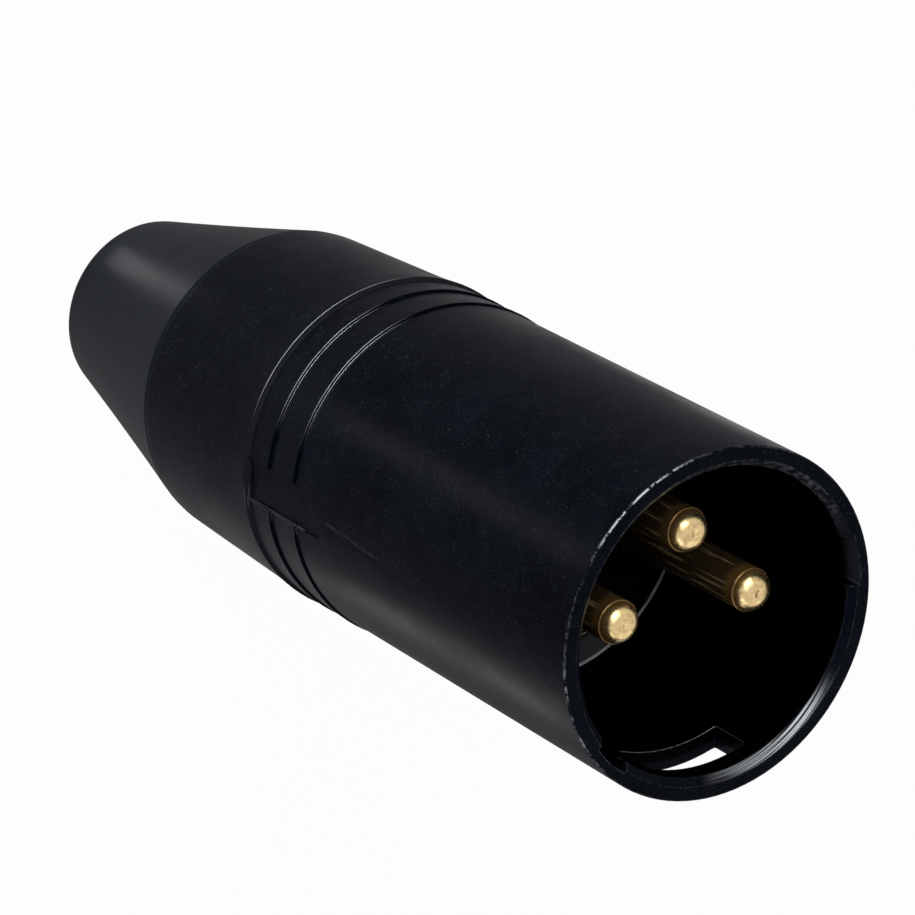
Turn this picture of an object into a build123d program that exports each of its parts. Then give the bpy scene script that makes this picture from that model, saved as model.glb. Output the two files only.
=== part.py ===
"""Audio adapter: a three-pin XLR plug at the top and a 3.5 mm stereo jack socket at the bottom.

The adapter stands on its jack end. Sizes are in millimetres. The origin is the centre of the
rear face, +Z runs up the barrel to the open mouth, and the latch window faces -Y.
"""
from build123d import *
from math import cos, radians, sin, sqrt
import os

# Barrel, outside. A rise or a drop is a step on the radius from barrel_dia
barrel_length = 42.0
barrel_dia = 19.0
barrel_rear_drop = 0.34
flare_length = 2.97
flare_drop = 0.03
flare_bow = 0.03
mouth_edge_radius = 0.1

# The three rings, measured down from the mouth
ring_a_depth = 30.63
ring_a_rise = 0.17
ring_b_depth = 28.35
ring_c_depth = 25.75
ring_rise = 0.1
band_drop = 0.02
ring_groove_drop = 0.08
ring_groove_width = 0.25

# Narrow flats where the casting line was trimmed, and the shallow scrape in front of each
trim_flat_width = 2.4
trim_flat_drop = 0.18
trim_flat_front_depth = 23.5
scrape_drop = 0.02
scrape_rear_depth = 22.8
scrape_front_depth = 16.8

# Mouth, latch window and keyways
mouth_wall = 1.15
mouth_chamfer = 0.38
face_depth = 15.0
window_width = 6.1
window_height = 2.6
window_depth = 1.6
window_corner_radius = 0.15
keyway_cut = 0.6
keyway_widths = {-137.0: 2.3, 11.5: 2.9}

# Barrel, inside
ledge_width = 0.85
ledge_thickness = 2.0
rear_bore_wall = 1.5
rear_bore_chamfer = 0.4

# Rear boot
boot_length = 16.1
seam_step = 0.06
boot_rear_dia = 10.88
boot_land = 0.45
boot_hollow = 0.05
boot_rim_radius = 0.85
spigot_length = 6.0
spigot_bore_share = 0.54
pocket_top = 13.0
rear_wall = 2.0

# Contact carrier
flange_thickness = 3.0
carrier_tail = 3.2
face_rim_width = 1.8
face_recess = 0.3
barb_height = 0.35
barb_length = 1.0
barb_arc = 40.0
barb_count = 3

# Contact pins
pin_dia = 2.4
pin_root_dia = 2.8
pin_inset = 4.2
pin_reach = 12.7
pin_step = 0.07
pin_dome = 0.75
pin_nose_dia = 0.5
pin_dimple = 0.12
collar_dia = 3.8
collar_thickness = 1.0
collar_inset = 0.4
cup_length = 5.3
cup_bore_dia = 1.7
cup_bore_depth = 3.2
cup_window_length = 2.4
pin_angles = {"pin_1": 180.0, "pin_2": 0.0, "pin_3": 90.0}

# Ground leaf between pin 1 and the shell
leaf_thickness = 0.3
ground_leaf_width = 2.0
ground_eye_dia = 4.2
ground_leg_length = 3.5

# Jack socket
socket_dia = 3.6
socket_lead_in = 0.3
bush_dia = 6.0
bush_recess = 0.1
bush_flange_thickness = 0.8
bush_tail_dia = 5.2
bush_tail_length = 3.0
housing_dia = 9.0
housing_rear = 18.0
chamber_dia = 4.0
chamber_roof = 3.0
back_cap_thickness = 1.2
retainer_length = 3.0
retainer_lip = 0.8
retainer_lip_cover = 0.5

# Contact leaves of the jack
contact_leaf_thickness = 0.25
contact_leaf_width = 1.4
contact_leaf_inset = 0.975
contact_radius = 1.5
contact_toe_length = 1.2
contact_toe_lift = 0.7
contact_root_inset = 0.5
leaf_slot_lead = 1.0
tip_contact_height = 12.0
ring_contact_height = 8.8
tag_length = 2.6

# Sleeve lug
lug_thickness = 0.3
lug_width = 1.4
lug_inset = 0.05

# Wires, sleeves and solder
wire_dia = 1.1
wire_rise_share = 0.13
wire_drop_share = 0.3
wire_bend_share = 0.22
wire_lap = 0.9
shrink_wall = 0.38
shrink_length = 3.8
shrink_overhang = 0.8
liner_wall = 0.5
solder_dia = 1.6
solder_length = 1.5

# Clearances, all on the radius or on one side
slide_gap = 0.05
loose_gap = 0.1

# Diameters and distances from the axis that follow from the sizes above
barrel_rear_dia = barrel_dia - 2 * barrel_rear_drop
mouth_dia = barrel_dia - 2 * mouth_wall
keyway_dia = mouth_dia + 2 * keyway_cut
ledge_bore_dia = mouth_dia - 2 * ledge_width
face_recess_dia = mouth_dia - 2 * face_rim_width
rear_bore_dia = barrel_dia - 2 * rear_bore_wall
spigot_dia = rear_bore_dia - 2 * slide_gap
pocket_dia = housing_dia + 2 * loose_gap
spigot_bore_dia = pocket_dia + spigot_bore_share * (spigot_dia - pocket_dia)
bush_flange_dia = housing_dia - 2 * loose_gap
pin_circle_radius = mouth_dia / 2 - pin_inset
contact_leaf_offset = housing_dia / 2 - contact_leaf_inset

# Heights that follow from the sizes above
seam_height = boot_length
overall_length = boot_length + barrel_length
face_height = overall_length - face_depth
recess_height = face_height - face_recess
seat_height = face_height - flange_thickness
ledge_bottom = seat_height - ledge_thickness
carrier_rear = seat_height - carrier_tail
ring_a_height = overall_length - ring_a_depth
ring_b_height = overall_length - ring_b_depth
ring_c_height = overall_length - ring_c_depth
collar_top = seat_height - collar_inset
collar_bottom = collar_top - collar_thickness
cup_mouth = collar_bottom - cup_length
pin_tip = face_height + pin_reach
spigot_top = seam_height + spigot_length
flange_top = rear_wall + bush_flange_thickness
lug_top = flange_top + lug_thickness
tail_top = flange_top + bush_tail_length
chamber_top = housing_rear - chamber_roof
cap_top = housing_rear + back_cap_thickness
tag_top = cap_top + tag_length
lip_top = cap_top + retainer_lip
joint_height = lip_top + loose_gap + solder_length / 2
ground_eye_top = carrier_rear - loose_gap


def turned(outline):
    """Solid made by turning a closed (radius, height) outline about Z."""
    return revolve(Plane.XZ * make_face(outline), Axis.Z)


def turned_points(*points):
    """Solid made by turning a closed run of straight (radius, height) points about Z."""
    return turned(Polyline(*points, close=True))


def rod(diameter, low, high, x=0.0, y=0.0):
    """Upright cylinder between two heights."""
    return Pos(x, y, low) * Cylinder(diameter / 2, high - low, align=(Align.CENTER, Align.CENTER, Align.MIN))


def tube(outer, inner, low, high, x=0.0, y=0.0):
    """Upright tube between two heights."""
    return rod(outer, low, high, x, y) - rod(inner, low, high, x, y)


def block(x_range, y_range, z_range):
    """Box between two corners."""
    size = [high - low for low, high in (x_range, y_range, z_range)]
    centre = [(high + low) / 2 for low, high in (x_range, y_range, z_range)]
    return Pos(*centre) * Box(*size)


def edges_at(part, height, radius):
    """Circular edges about Z at one height and radius."""
    circles = part.edges().filter_by(GeomType.CIRCLE)
    return [e for e in circles if abs(e.arc_center.Z - height) < 0.001 and abs(e.radius - radius) < 0.001]


def pin_place(name):
    """Centre of one contact pin on its circle."""
    angle = radians(pin_angles[name])
    return pin_circle_radius * cos(angle), pin_circle_radius * sin(angle)


def barrel_outside():
    """Outer form: rear taper, flare to ring A, two stepped bands and the plain front."""
    front = barrel_dia / 2
    rear = barrel_rear_dia / 2
    taper_front = front - flare_drop
    ring_a = front + ring_a_rise
    flare_start = ring_a_height - flare_length
    flare_middle = ((taper_front + ring_a) / 2 - flare_bow, ring_a_height - flare_length / 2)
    low = front - band_drop
    lip = front + ring_rise
    groove = front - ring_groove_drop
    outline = [
        Line((0, seam_height), (rear, seam_height)),
        Line((rear, seam_height), (taper_front, flare_start)),
        ThreePointArc((taper_front, flare_start), flare_middle, (ring_a, ring_a_height)),
        Polyline(
            (ring_a, ring_a_height),
            (low, ring_a_height),
            (lip, ring_b_height),
            (groove, ring_b_height),
            (groove, ring_b_height + ring_groove_width),
            (low, ring_b_height + ring_groove_width),
            (lip, ring_c_height),
            (groove, ring_c_height),
            (groove, ring_c_height + ring_groove_width),
            (front, ring_c_height + ring_groove_width),
            (front, overall_length),
            (0, overall_length),
            (0, seam_height),
        ),
    ]
    body = turned(outline)
    return fillet(edges_at(body, overall_length, front), mouth_edge_radius)


def barrel_inside():
    """Everything bored out: mouth, ledge bore and rear bore."""
    mouth = rod(mouth_dia, seat_height, overall_length)
    ledge = rod(ledge_bore_dia, ledge_bottom, seat_height)
    rear = rod(rear_bore_dia, seam_height, ledge_bottom)
    return mouth + ledge + rear


def keyways(gap, diameter, low, high):
    """Two grooves or keys in the mouth, of their own widths so that the carrier fits one way."""
    limit = rod(diameter, low, high)
    inner = mouth_dia / 4
    bars = Part()
    for angle, width in keyway_widths.items():
        half = width / 2 - gap
        bars += Rot(0, 0, angle) * block((inner, diameter), (-half, half), (low, high))
    return limit & bars


def latch_window():
    """Square-cornered hole through the wall that the socket's latch drops into."""
    top = overall_length - window_depth
    hole = block(
        (-window_width / 2, window_width / 2),
        (-barrel_dia, -ledge_bore_dia / 2),
        (top - window_height, top),
    )
    return fillet(hole.edges().filter_by(Axis.Y), window_corner_radius)


def trim_flats():
    """Two narrow flats at +X and -X across the front rings, which run out in shallow scrapes."""
    radius = barrel_dia / 2
    front_height = overall_length - scrape_front_depth
    outline = Polyline(
        (radius - trim_flat_drop, ring_a_height),
        (2 * radius, ring_a_height),
        (2 * radius, front_height),
        (radius - scrape_drop, front_height),
        (radius - scrape_drop, overall_length - scrape_rear_depth),
        (radius - trim_flat_drop, overall_length - trim_flat_front_depth),
        close=True,
    )
    one = extrude(Plane.XZ * make_face(outline), trim_flat_width / 2, both=True)
    return one + mirror(one, Plane.YZ)


def make_barrel():
    """Cast shell, bored, slotted and turned."""
    body = barrel_outside() - barrel_inside()
    body = chamfer(edges_at(body, overall_length, mouth_dia / 2), mouth_chamfer)
    body = chamfer(edges_at(body, seam_height, rear_bore_dia / 2), rear_bore_chamfer)
    body -= keyways(0, keyway_dia, seat_height, overall_length)
    body -= latch_window()
    return body - trim_flats()


def make_rear_boot():
    """Conical cap with a threaded spigot, a pocket for the jack and a hole for its bush."""
    front = barrel_rear_dia / 2 - seam_step
    rear = boot_rear_dia / 2
    land_start = boot_length - boot_land
    middle = ((front + rear) / 2 - boot_hollow, land_start / 2)
    shell = turned([
        Line((0, 0), (rear, 0)),
        ThreePointArc((rear, 0), middle, (front, land_start)),
        Polyline((front, land_start), (front, seam_height), (spigot_dia / 2, seam_height)),
        Line((spigot_dia / 2, seam_height), (spigot_dia / 2, spigot_top)),
        Polyline((spigot_dia / 2, spigot_top), (0, spigot_top), (0, 0)),
    ])
    shell = fillet(edges_at(shell, 0, rear), boot_rim_radius)
    shell = chamfer(edges_at(shell, spigot_top, spigot_dia / 2), rear_bore_chamfer)
    shell -= rod(bush_dia + 2 * slide_gap, 0, rear_wall)
    shell -= rod(pocket_dia, rear_wall, pocket_top)
    return shell - rod(spigot_bore_dia, pocket_top, spigot_top)


def make_pin_insert():
    """Contact carrier: keyed flange, tail through the ledge, snap barbs and three stepped holes."""
    flange_dia = mouth_dia - 2 * slide_gap
    tail_dia = ledge_bore_dia - 2 * slide_gap
    body = rod(flange_dia, seat_height, face_height)
    body += rod(tail_dia, carrier_rear, seat_height)
    body += keyways(slide_gap, keyway_dia - 2 * slide_gap, seat_height, face_height)
    barb_top = ledge_bottom - slide_gap
    barb = Plane.XZ * make_face(Polyline(
        (tail_dia / 4, barb_top),
        (tail_dia / 2 + barb_height, barb_top),
        (tail_dia / 2, barb_top - barb_length),
        (tail_dia / 4, barb_top - barb_length),
        close=True,
    ))
    for i in range(barb_count):
        turn = 360 * i / barb_count - 90 - barb_arc / 2
        body += Rot(0, 0, turn) * revolve(barb, Axis.Z, barb_arc)
    body -= rod(face_recess_dia, recess_height, face_height)
    for name in pin_angles:
        x, y = pin_place(name)
        body -= rod(pin_root_dia + 2 * slide_gap, carrier_rear, face_height, x, y)
        body -= rod(collar_dia + 2 * slide_gap, carrier_rear, collar_top, x, y)
    return body


def make_pin(name):
    """Turned contact: dimpled dome, shank, collar and an open solder cup."""
    shank = pin_dia / 2
    root = pin_root_dia / 2
    neck = shank - pin_step
    nose = pin_nose_dia / 2
    dome_start = pin_tip - pin_dome
    bulge = sqrt(0.5)
    dome_middle = (nose + (neck - nose) * bulge, dome_start + pin_dome * bulge)
    collar = collar_dia / 2
    pin = turned([
        Polyline(
            (0, pin_tip - pin_dimple),
            (0, cup_mouth),
            (root, cup_mouth),
            (root, collar_bottom),
            (collar, collar_bottom),
            (collar, collar_top),
            (root, collar_top),
            (root, recess_height),
            (shank, recess_height),
            (shank, dome_start),
            (neck, dome_start),
        ),
        ThreePointArc((neck, dome_start), dome_middle, (nose, pin_tip)),
        Line((nose, pin_tip), (0, pin_tip - pin_dimple)),
    ])
    pin -= rod(cup_bore_dia, cup_mouth, cup_mouth + cup_bore_depth)
    pin -= block((0, pin_dia), (-pin_dia, pin_dia), (cup_mouth, cup_mouth + cup_window_length))
    x, y = pin_place(name)
    return Pos(x, y, 0) * Rot(0, 0, pin_angles[name]) * pin


def make_shell_ground_spring():
    """Eye round pin 1, with an arm to the wall and a leg that bears on the rear bore."""
    x, y = pin_place("pin_1")
    low = ground_eye_top - leaf_thickness
    wall = -(sqrt((rear_bore_dia / 2 - slide_gap) ** 2 - (ground_leaf_width / 2) ** 2))
    half = ground_leaf_width / 2
    leaf = rod(ground_eye_dia, low, ground_eye_top, x, y)
    leaf += block((wall, x), (-half, half), (low, ground_eye_top))
    leaf += block((wall, wall + leaf_thickness), (-half, half), (ground_eye_top - ground_leg_length, low))
    return leaf - rod(pin_root_dia + 2 * slide_gap, low, ground_eye_top, x, y)


def make_jack_bush():
    """Turned sleeve contact: nose through the boot, flange behind its wall, tail in the housing."""
    bore = socket_dia / 2
    nose = bush_dia / 2
    flange = bush_flange_dia / 2
    tail = bush_tail_dia / 2
    bush = turned_points(
        (bore, bush_recess),
        (nose, bush_recess),
        (nose, rear_wall),
        (flange, rear_wall),
        (flange, flange_top),
        (tail, flange_top),
        (tail, tail_top),
        (bore, tail_top),
    )
    return chamfer(edges_at(bush, bush_recess, bore), socket_lead_in)


def leaf_outline(contact_height):
    """Centre line of a contact leaf as (distance from the axis, height) points, tag first."""
    touch = contact_radius + contact_leaf_thickness / 2
    return [
        (contact_leaf_offset, tag_top),
        (contact_leaf_offset, housing_rear - contact_root_inset),
        (touch, contact_height),
        (touch + contact_toe_lift, contact_height - contact_toe_length),
    ]


def make_contact_leaf(contact_height, side):
    """Bent strip: solder tag, straight root, arm in to the plug and a lifted toe."""
    points = [(side * distance, height) for distance, height in leaf_outline(contact_height)]
    strip = trace(Polyline(*points), contact_leaf_thickness)
    return extrude(Plane.YZ * strip, contact_leaf_width / 2, both=True)


def leaf_slot(contact_height, side):
    """Slot in the housing that the leaf is pushed into from the back."""
    outer = contact_leaf_offset + contact_leaf_thickness / 2 + slide_gap
    half = contact_leaf_width / 2 + loose_gap
    bottom = contact_height - contact_toe_length - leaf_slot_lead
    low, high = sorted((side * outer, 0))
    return block((-half, half), (low, high), (bottom, housing_rear))


def make_jack_housing():
    """Moulded socket body: seat for the bush, plug chamber, two leaf slots and the lug's groove."""
    body = rod(housing_dia, lug_top, housing_rear)
    body -= rod(bush_tail_dia + 2 * slide_gap, lug_top, tail_top)
    body -= rod(chamber_dia, tail_top, chamber_top)
    body -= leaf_slot(tip_contact_height, -1)
    body -= leaf_slot(ring_contact_height, 1)
    return body - lug_groove(lug_top, housing_rear)


def lug_reach():
    """Inner and outer distance of the lug's strip from the axis."""
    outer = housing_dia / 2 - lug_inset
    return outer - lug_thickness, outer


def lug_groove(low, high):
    """Groove down the side of the housing and its cap for the sleeve lug."""
    inner, outer = lug_reach()
    half = lug_width / 2 + loose_gap
    return block((-housing_dia, -inner + slide_gap), (-half, half), (low, high))


def make_jack_back_cap():
    """Disc that closes the housing, slotted for the two leaves and the lug."""
    cap = rod(housing_dia, housing_rear, cap_top)
    half = contact_leaf_width / 2 + slide_gap
    inner = contact_leaf_offset - contact_leaf_thickness / 2 - slide_gap
    outer = contact_leaf_offset + contact_leaf_thickness / 2 + slide_gap
    for low, high in ((inner, outer), (-outer, -inner)):
        cap -= block((-half, half), (low, high), (housing_rear, cap_top))
    return cap - lug_groove(housing_rear, cap_top)


def make_jack_retainer():
    """Ring pressed into the boot, whose lip holds the cap and the housing down."""
    outer = (spigot_bore_dia - 2 * slide_gap) / 2
    inner = pocket_dia / 2
    lip = housing_dia / 2 - retainer_lip_cover
    ring = turned_points(
        (inner, lip_top - retainer_length),
        (outer, lip_top - retainer_length),
        (outer, lip_top),
        (lip, lip_top),
        (lip, cap_top),
        (inner, cap_top),
    )
    half = lug_width / 2 + loose_gap
    notch = block((-inner, 0), (-half, half), (cap_top, lip_top))
    return ring - notch


def make_sleeve_lug():
    """Washer under the bush's flange, with a strip bent up the side of the housing."""
    inner, outer = lug_reach()
    half = lug_width / 2
    lug = tube(bush_flange_dia, bush_tail_dia + 2 * slide_gap, flange_top, lug_top)
    return lug + block((-outer, -inner), (-half, half), (flange_top, tag_top))


def make_wire(start, pin):
    """Insulated wire from a tag straight up, across to its pin and into the solder cup."""
    x, y = pin_place(pin)
    low = cap_top + loose_gap
    free = cup_mouth - tag_top
    end = cup_mouth + cup_bore_depth - loose_gap
    route = FilletPolyline(
        (start[0], start[1], low),
        (start[0], start[1], tag_top + wire_rise_share * free),
        (x, y, cup_mouth - wire_drop_share * free),
        (x, y, end),
        radius=wire_bend_share * free,
    )
    return sweep(Plane((start[0], start[1], low)) * Circle(wire_dia / 2), path=route)


def wire_starts():
    """Where each wire lies against its tag, on the side towards the axis."""
    leaf = contact_leaf_offset - contact_leaf_thickness / 2 - wire_dia / 2 - slide_gap / 2
    lug = lug_reach()[0] - wire_dia / 2 - slide_gap / 2
    return {"tip": (0, -leaf), "ring": (0, leaf), "sleeve": (-lug, 0)}


def make_cup_sleeve(pin):
    """Heat-shrink sleeve over one solder cup and the wire that leaves it."""
    x, y = pin_place(pin)
    bore = pin_root_dia + slide_gap
    low = cup_mouth - shrink_overhang
    return tube(bore + 2 * shrink_wall, bore, low, low + shrink_length, x, y)


def make_insulating_sleeve():
    """Plastic tube between the boot's spigot and the ground leaf."""
    outer = rear_bore_dia - 2 * loose_gap
    top = ground_eye_top - ground_leg_length - loose_gap
    return tube(outer, outer - 2 * liner_wall, spigot_top + loose_gap, top)


def make_cup_solder(wires):
    """Solder that fills each cup round its wire."""
    joints = []
    for name in pin_angles:
        x, y = pin_place(name)
        fill = rod(cup_bore_dia, cup_mouth + wire_lap, cup_mouth + cup_bore_depth, x, y)
        joints.append(fill - wires[name])
    return Part() + joints


def make_tag_solder(wires, tags):
    """A bead of solder between each tag and its wire."""
    beads = []
    for name, (x, y) in wire_starts().items():
        bead = rod(solder_dia, joint_height - solder_length / 2, joint_height + solder_length / 2, x, y)
        bead = chamfer(bead.edges().filter_by(GeomType.CIRCLE), solder_dia / 4)
        beads.append(bead - wires[name] - tags[name])
    return Part() + beads


def build():
    """Every piece, by its node name."""
    nodes = {"barrel": make_barrel(), "rear_boot": make_rear_boot(), "pin_insert": make_pin_insert()}
    for name in pin_angles:
        nodes[name] = make_pin(name)
    nodes["shell_ground_spring"] = make_shell_ground_spring()
    nodes["jack_bush"] = make_jack_bush()
    nodes["jack_housing"] = make_jack_housing()
    nodes["jack_back_cap"] = make_jack_back_cap()
    nodes["jack_retainer"] = make_jack_retainer()
    nodes["tip_spring"] = make_contact_leaf(tip_contact_height, -1)
    nodes["ring_spring"] = make_contact_leaf(ring_contact_height, 1)
    nodes["sleeve_lug"] = make_sleeve_lug()
    starts = wire_starts()
    nodes["wire_tip"] = make_wire(starts["tip"], "pin_2")
    nodes["wire_ring"] = make_wire(starts["ring"], "pin_3")
    nodes["wire_sleeve"] = make_wire(starts["sleeve"], "pin_1")
    for number, pin in enumerate(pin_angles, start=1):
        nodes[f"cup_sleeve_{number}"] = make_cup_sleeve(pin)
    nodes["insulating_sleeve"] = make_insulating_sleeve()
    by_pin = {"pin_1": nodes["wire_sleeve"], "pin_2": nodes["wire_tip"], "pin_3": nodes["wire_ring"]}
    nodes["cup_solder"] = make_cup_solder(by_pin)
    by_tag = {"tip": nodes["wire_tip"], "ring": nodes["wire_ring"], "sleeve": nodes["wire_sleeve"]}
    tags = {"tip": nodes["tip_spring"], "ring": nodes["ring_spring"], "sleeve": nodes["sleeve_lug"]}
    nodes["tag_solder"] = make_tag_solder(by_tag, tags)
    return nodes


os.makedirs("parts", exist_ok=True)
for node, shape in build().items():
    export_step(shape, f"parts/{node}.step")
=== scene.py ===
"""Finishes and studio for a three-pin plug to jack socket adapter.

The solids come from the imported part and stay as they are. Lengths are in metres and angles in
radians. The adapter stands on its jack end: +Z runs up the barrel to the open mouth, and the latch
window faces -Y. A direction round the adapter is its angle from +X towards +Y.
"""
import math

import bpy
from mathutils import Matrix, Vector


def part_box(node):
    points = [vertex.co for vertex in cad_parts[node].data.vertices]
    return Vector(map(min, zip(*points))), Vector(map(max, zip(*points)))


bl_info = {
    "name": "Jack to three-pin plug adapter",
    "version": (1, 0, 0),
    "blender": (4, 5, 0),
    "location": "3D View > Sidebar > Adapter",
    "description": "Paint, plastics, plated contacts, wiring and studio for an audio adapter",
    "category": "Object",
}

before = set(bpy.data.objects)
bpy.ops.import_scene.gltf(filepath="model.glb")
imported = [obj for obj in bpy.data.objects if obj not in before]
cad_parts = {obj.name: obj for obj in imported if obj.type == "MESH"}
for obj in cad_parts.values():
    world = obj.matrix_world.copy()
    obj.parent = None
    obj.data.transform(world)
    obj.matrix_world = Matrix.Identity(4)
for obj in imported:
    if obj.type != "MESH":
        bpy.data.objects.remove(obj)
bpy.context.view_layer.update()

MOUTH_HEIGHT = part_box("barrel")[1].z
FACE_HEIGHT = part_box("pin_insert")[1].z
PIN_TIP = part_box("pin_1")[1].z

MM = 0.001
UP = Vector((0.0, 0.0, 1.0))
IN_PLAN = (1.0, 1.0, 0.0)


def mm(*values):
    """Millimetres as metres."""
    return tuple(value * MM for value in values)


def degrees(*values):
    """Degrees as radians."""
    return tuple(math.radians(value) for value in values)


# Of the lengths below, two together are where a share is 0 and where it is 1, and four are a band:
# where its share starts, is whole, is still whole and ends. Of the angles, two together are how far
# from a direction the wear is whole and where it ends, and three start with that direction.

# Barrel: depths below the mouth's rim, and distances from the axis.
FLAT_ACROSS = mm(-1.1, -1.0, 1.4, 1.5)
FLAT_ALONG = mm(22.2, 22.4, 30.0, 30.2)
# The flat's lower edge gets a painted highlight line of bare metal.
FLAT_HIGHLIGHT_SPREAD = degrees(2, 5)
FLAT_HIGHLIGHT_SHARE = 0.3
BEFORE_RING_C = mm(-1.0, -0.9)
# Ring edges: bare metal is painted only over the directions where they catch the light, as painted
# highlights.
FRONT_RINGS = mm(29.6, 29.4)
FRONT_RING_HIGHLIGHT_SPREAD = degrees(9, 31)
REAR_RING = mm(29.4, 29.6)
REAR_RING_LIP = mm(9.52, 9.6)
REAR_RING_HIGHLIGHT_SPREAD = degrees(22, 42)
# The step before ring A is painted lighter, as painted light over its shade.
STEP_FILL_BAND = mm(30.3, 30.5, 30.64, 30.68)
STEP_FILL_SHARE = 0.5
WINDOW_RUB = degrees(270, 24, 30)
WINDOW_WEAR = 0.75
MOUTH_ZONE = mm(1.3, 1.2)
LIP_SPREAD = degrees(10, 26)
SECOND_LIP_TURN = math.radians(76)
SECOND_LIP_WEAR = 0.5
LEAST_LIP_WEAR = 0.35
LIP_CORNER_DEPTH = mm(0.16, 0.06)
LIP_CORNER_RADIUS = mm(9.38, 9.44)
CHAMFER_DEPTH = mm(0.46, 0.4)
CHAMFER_RADIUS = mm(8.8, 8.72)
CHAMFER_SPREAD = degrees(12, 34)
CHAMFER_WEAR = 0.85
FAR_CHAMFER_SPREAD = degrees(45, 75)
FAR_CHAMFER_WEAR = 0.32
# A faint painted highlight line along the edge of the barrel's reflection band, broken like a
# scrape.
EDGE_LINE_ALONG = mm(16.9, 17.9, 22.3, 22.8)
EDGE_LINE_WIDTH = mm(0.11, 0.03)
EDGE_LINE_SIDE = mm(-9.0, -9.2)
EDGE_LINE_END = 22.4 * MM
EDGE_LINE_DRIFT = 0.063
EDGE_LINE_SHARE = 0.12
BORE_RADIUS = mm(9.1, 8.9)
BORE_DEPTH = mm(0.45, 0.6)
BORE_GLOSS = 0.3
KEYWAY_RADIUS = mm(8.8, 8.9, 9.0, 9.1)
KEYWAY_DEPTH = mm(0.01, 0.03, 0.7, 1.6)

# Patterns in the paint: their sizes and heights, and the two levels between which each shows.
CHIP_SIZE = 0.3 * MM
CHIPS_ON_LIP = (0.36, 0.6)
CHIPS_ON_WINDOW = (0.3, 0.55)
CHIPS_ON_CHAMFER = (0.42, 0.68)
CHIPS_ON_EDGE_LINE = (0.3, 0.6)
PATCH_SIZE = 1.4 * MM
PATCHES_ON_LIP = (0.3, 0.55)
PATCHES_ON_RINGS = (0.15, 0.45)
STREAK_SIZE = mm(0.07, 1.6)
STREAKS_ON_CHAMFER = (0.36, 0.62)
STREAKS_ON_LIP = (0.55, 1.15)
CLOUD_SIZE = 5.0 * MM
CLOUD_LEVELS = (0.35, 0.7)
SPECKLE_LEVELS = (0.52, 0.72)
SPECKLE_PATCH_SIZE = 1.1 * MM
SPECKLE_PATCH_LEVELS = (0.35, 0.65)
DUST_GAP = 0.5 * MM
DUST_LEVELS = (0.13, 0.05)
DUST_PATCH_SIZE = 2.0 * MM
DUST_PATCH_LEVELS = (0.5, 0.7)
DUST_SHARE = 0.25
WAVE_SIZE = 0.9 * MM
WAVE_HEIGHT = 0.005 * MM
GRAIN_HEIGHT = 0.003 * MM
PAINT_ROUGHNESS_SPREAD = (0.0, 0.08)

# Rear cap.
BOOT_CLOUD_SIZE = 4.0 * MM
BOOT_CLOUD_LEVELS = (0.3, 0.75)
BOOT_CLOUD_SHADE = 1.35
BOOT_ROUGHNESS_SPREAD = (-0.03, 0.05)

# Contact carrier: heights above its face, and distances from the axis.
CARRIER_EDGE_WIDTH = 0.12 * MM
CARRIER_FACE = mm(-0.4, -0.2)
# Carrier marks: painted highlights on the recess edge and the rim, and a painted lit patch on the
# face.
RECESS_EDGE = mm(6.8, 6.7)
RECESS_HIGHLIGHT = degrees(291, 3, 8)
FACE_RIM = mm(8.06, 8.14, 8.34, 8.38)
FACE_RIM_HIGHLIGHT = degrees(290, 15, 62)
FACE_LIT_PATCH = mm(6.6, 6.9)
FACE_LIT_SIDE = degrees(288, 7, 12)
FACE_LIT_SHARE = 0.12
CARRIER_PATCH_SIZE = 1.2 * MM
CARRIER_PATCH_LEVELS = (0.2, 0.5)
CARRIER_ROUGHNESS = (0.4, 0.55)
CARRIER_GRAIN_SIZE = 0.15 * MM
CARRIER_GLOSS = 0.036

# Contact pins: distances below the tip.
PIN_EDGE_WIDTH = 0.12 * MM
DOME_MOTTLE = 0.4 * MM
DOME_FOOT = mm(0.42, 0.8)
DOME_LEDGE = mm(0.62, 0.7, 0.85, 0.95)
DOME_LEDGE_SHARE = 0.6
SHANK_START = mm(1.1, 1.8)
SHANK_METAL = 0.7
MOTTLE_SIZE = 0.22 * MM
MOTTLE_LEVELS = (0.35, 0.7)
MOTTLE_HEIGHT = 0.006 * MM
# Light streaks on the shank are painted reflections of the bright mouth.
SHANK_REFLECTION_SIZE = 0.32 * MM
SHANK_REFLECTION_STRETCH = (1.0, 1.0, 0.06)
SHANK_REFLECTION_LEVELS = (0.56, 0.68)
TURNING_STRETCH = (0.02, 0.02, 1.0)
TURNING_HEIGHT = 0.002 * MM
PLATE_ROUGHNESS_SPREAD = (-0.06, 0.1)

# Sheet metal and solder.
DRAW_MARK_SIZE = 0.3 * MM
DRAW_MARK_STRETCH = (1.0, 1.0, 0.1)
DRAW_MARK_HEIGHT = 0.002 * MM
TARNISH_SIZE = 1.5 * MM
TARNISH_LEVELS = (0.4, 0.8)
TARNISH_SHADE = 0.72
METAL_ROUGHNESS_SPREAD = (-0.05, 0.12)

# Other mouldings and insulation.
MOULDED_CLOUD_SIZE = 2.0 * MM
MOULDED_CLOUD_LEVELS = (0.3, 0.8)
MOULDED_CLOUD_SHADE = 0.8
MOULDED_ROUGHNESS_SPREAD = (-0.04, 0.06)
MOULDED_GRAIN_SIZE = 0.2 * MM
MOULDED_GRAIN_HEIGHT = 0.004 * MM
MOULDED_GLOSS = 0.4

# Rounded edges: samples, and the cosines of the normal's turn off an edge and on it.
EDGE_SAMPLES = 6
EDGE_TURN = (0.995, 0.84)

# Each soft lamp: name, direction, height and the setting that holds its power.
SOFT_LAMPS = (
    ("mouth_light", *degrees(120, 50), "mouth_power"),
    ("left_light", *degrees(105, 20), "left_power"),
    ("latch_light", *degrees(240, 20), "latch_power"),
    ("front_light", *degrees(300, 30), "front_power"),
)
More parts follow.
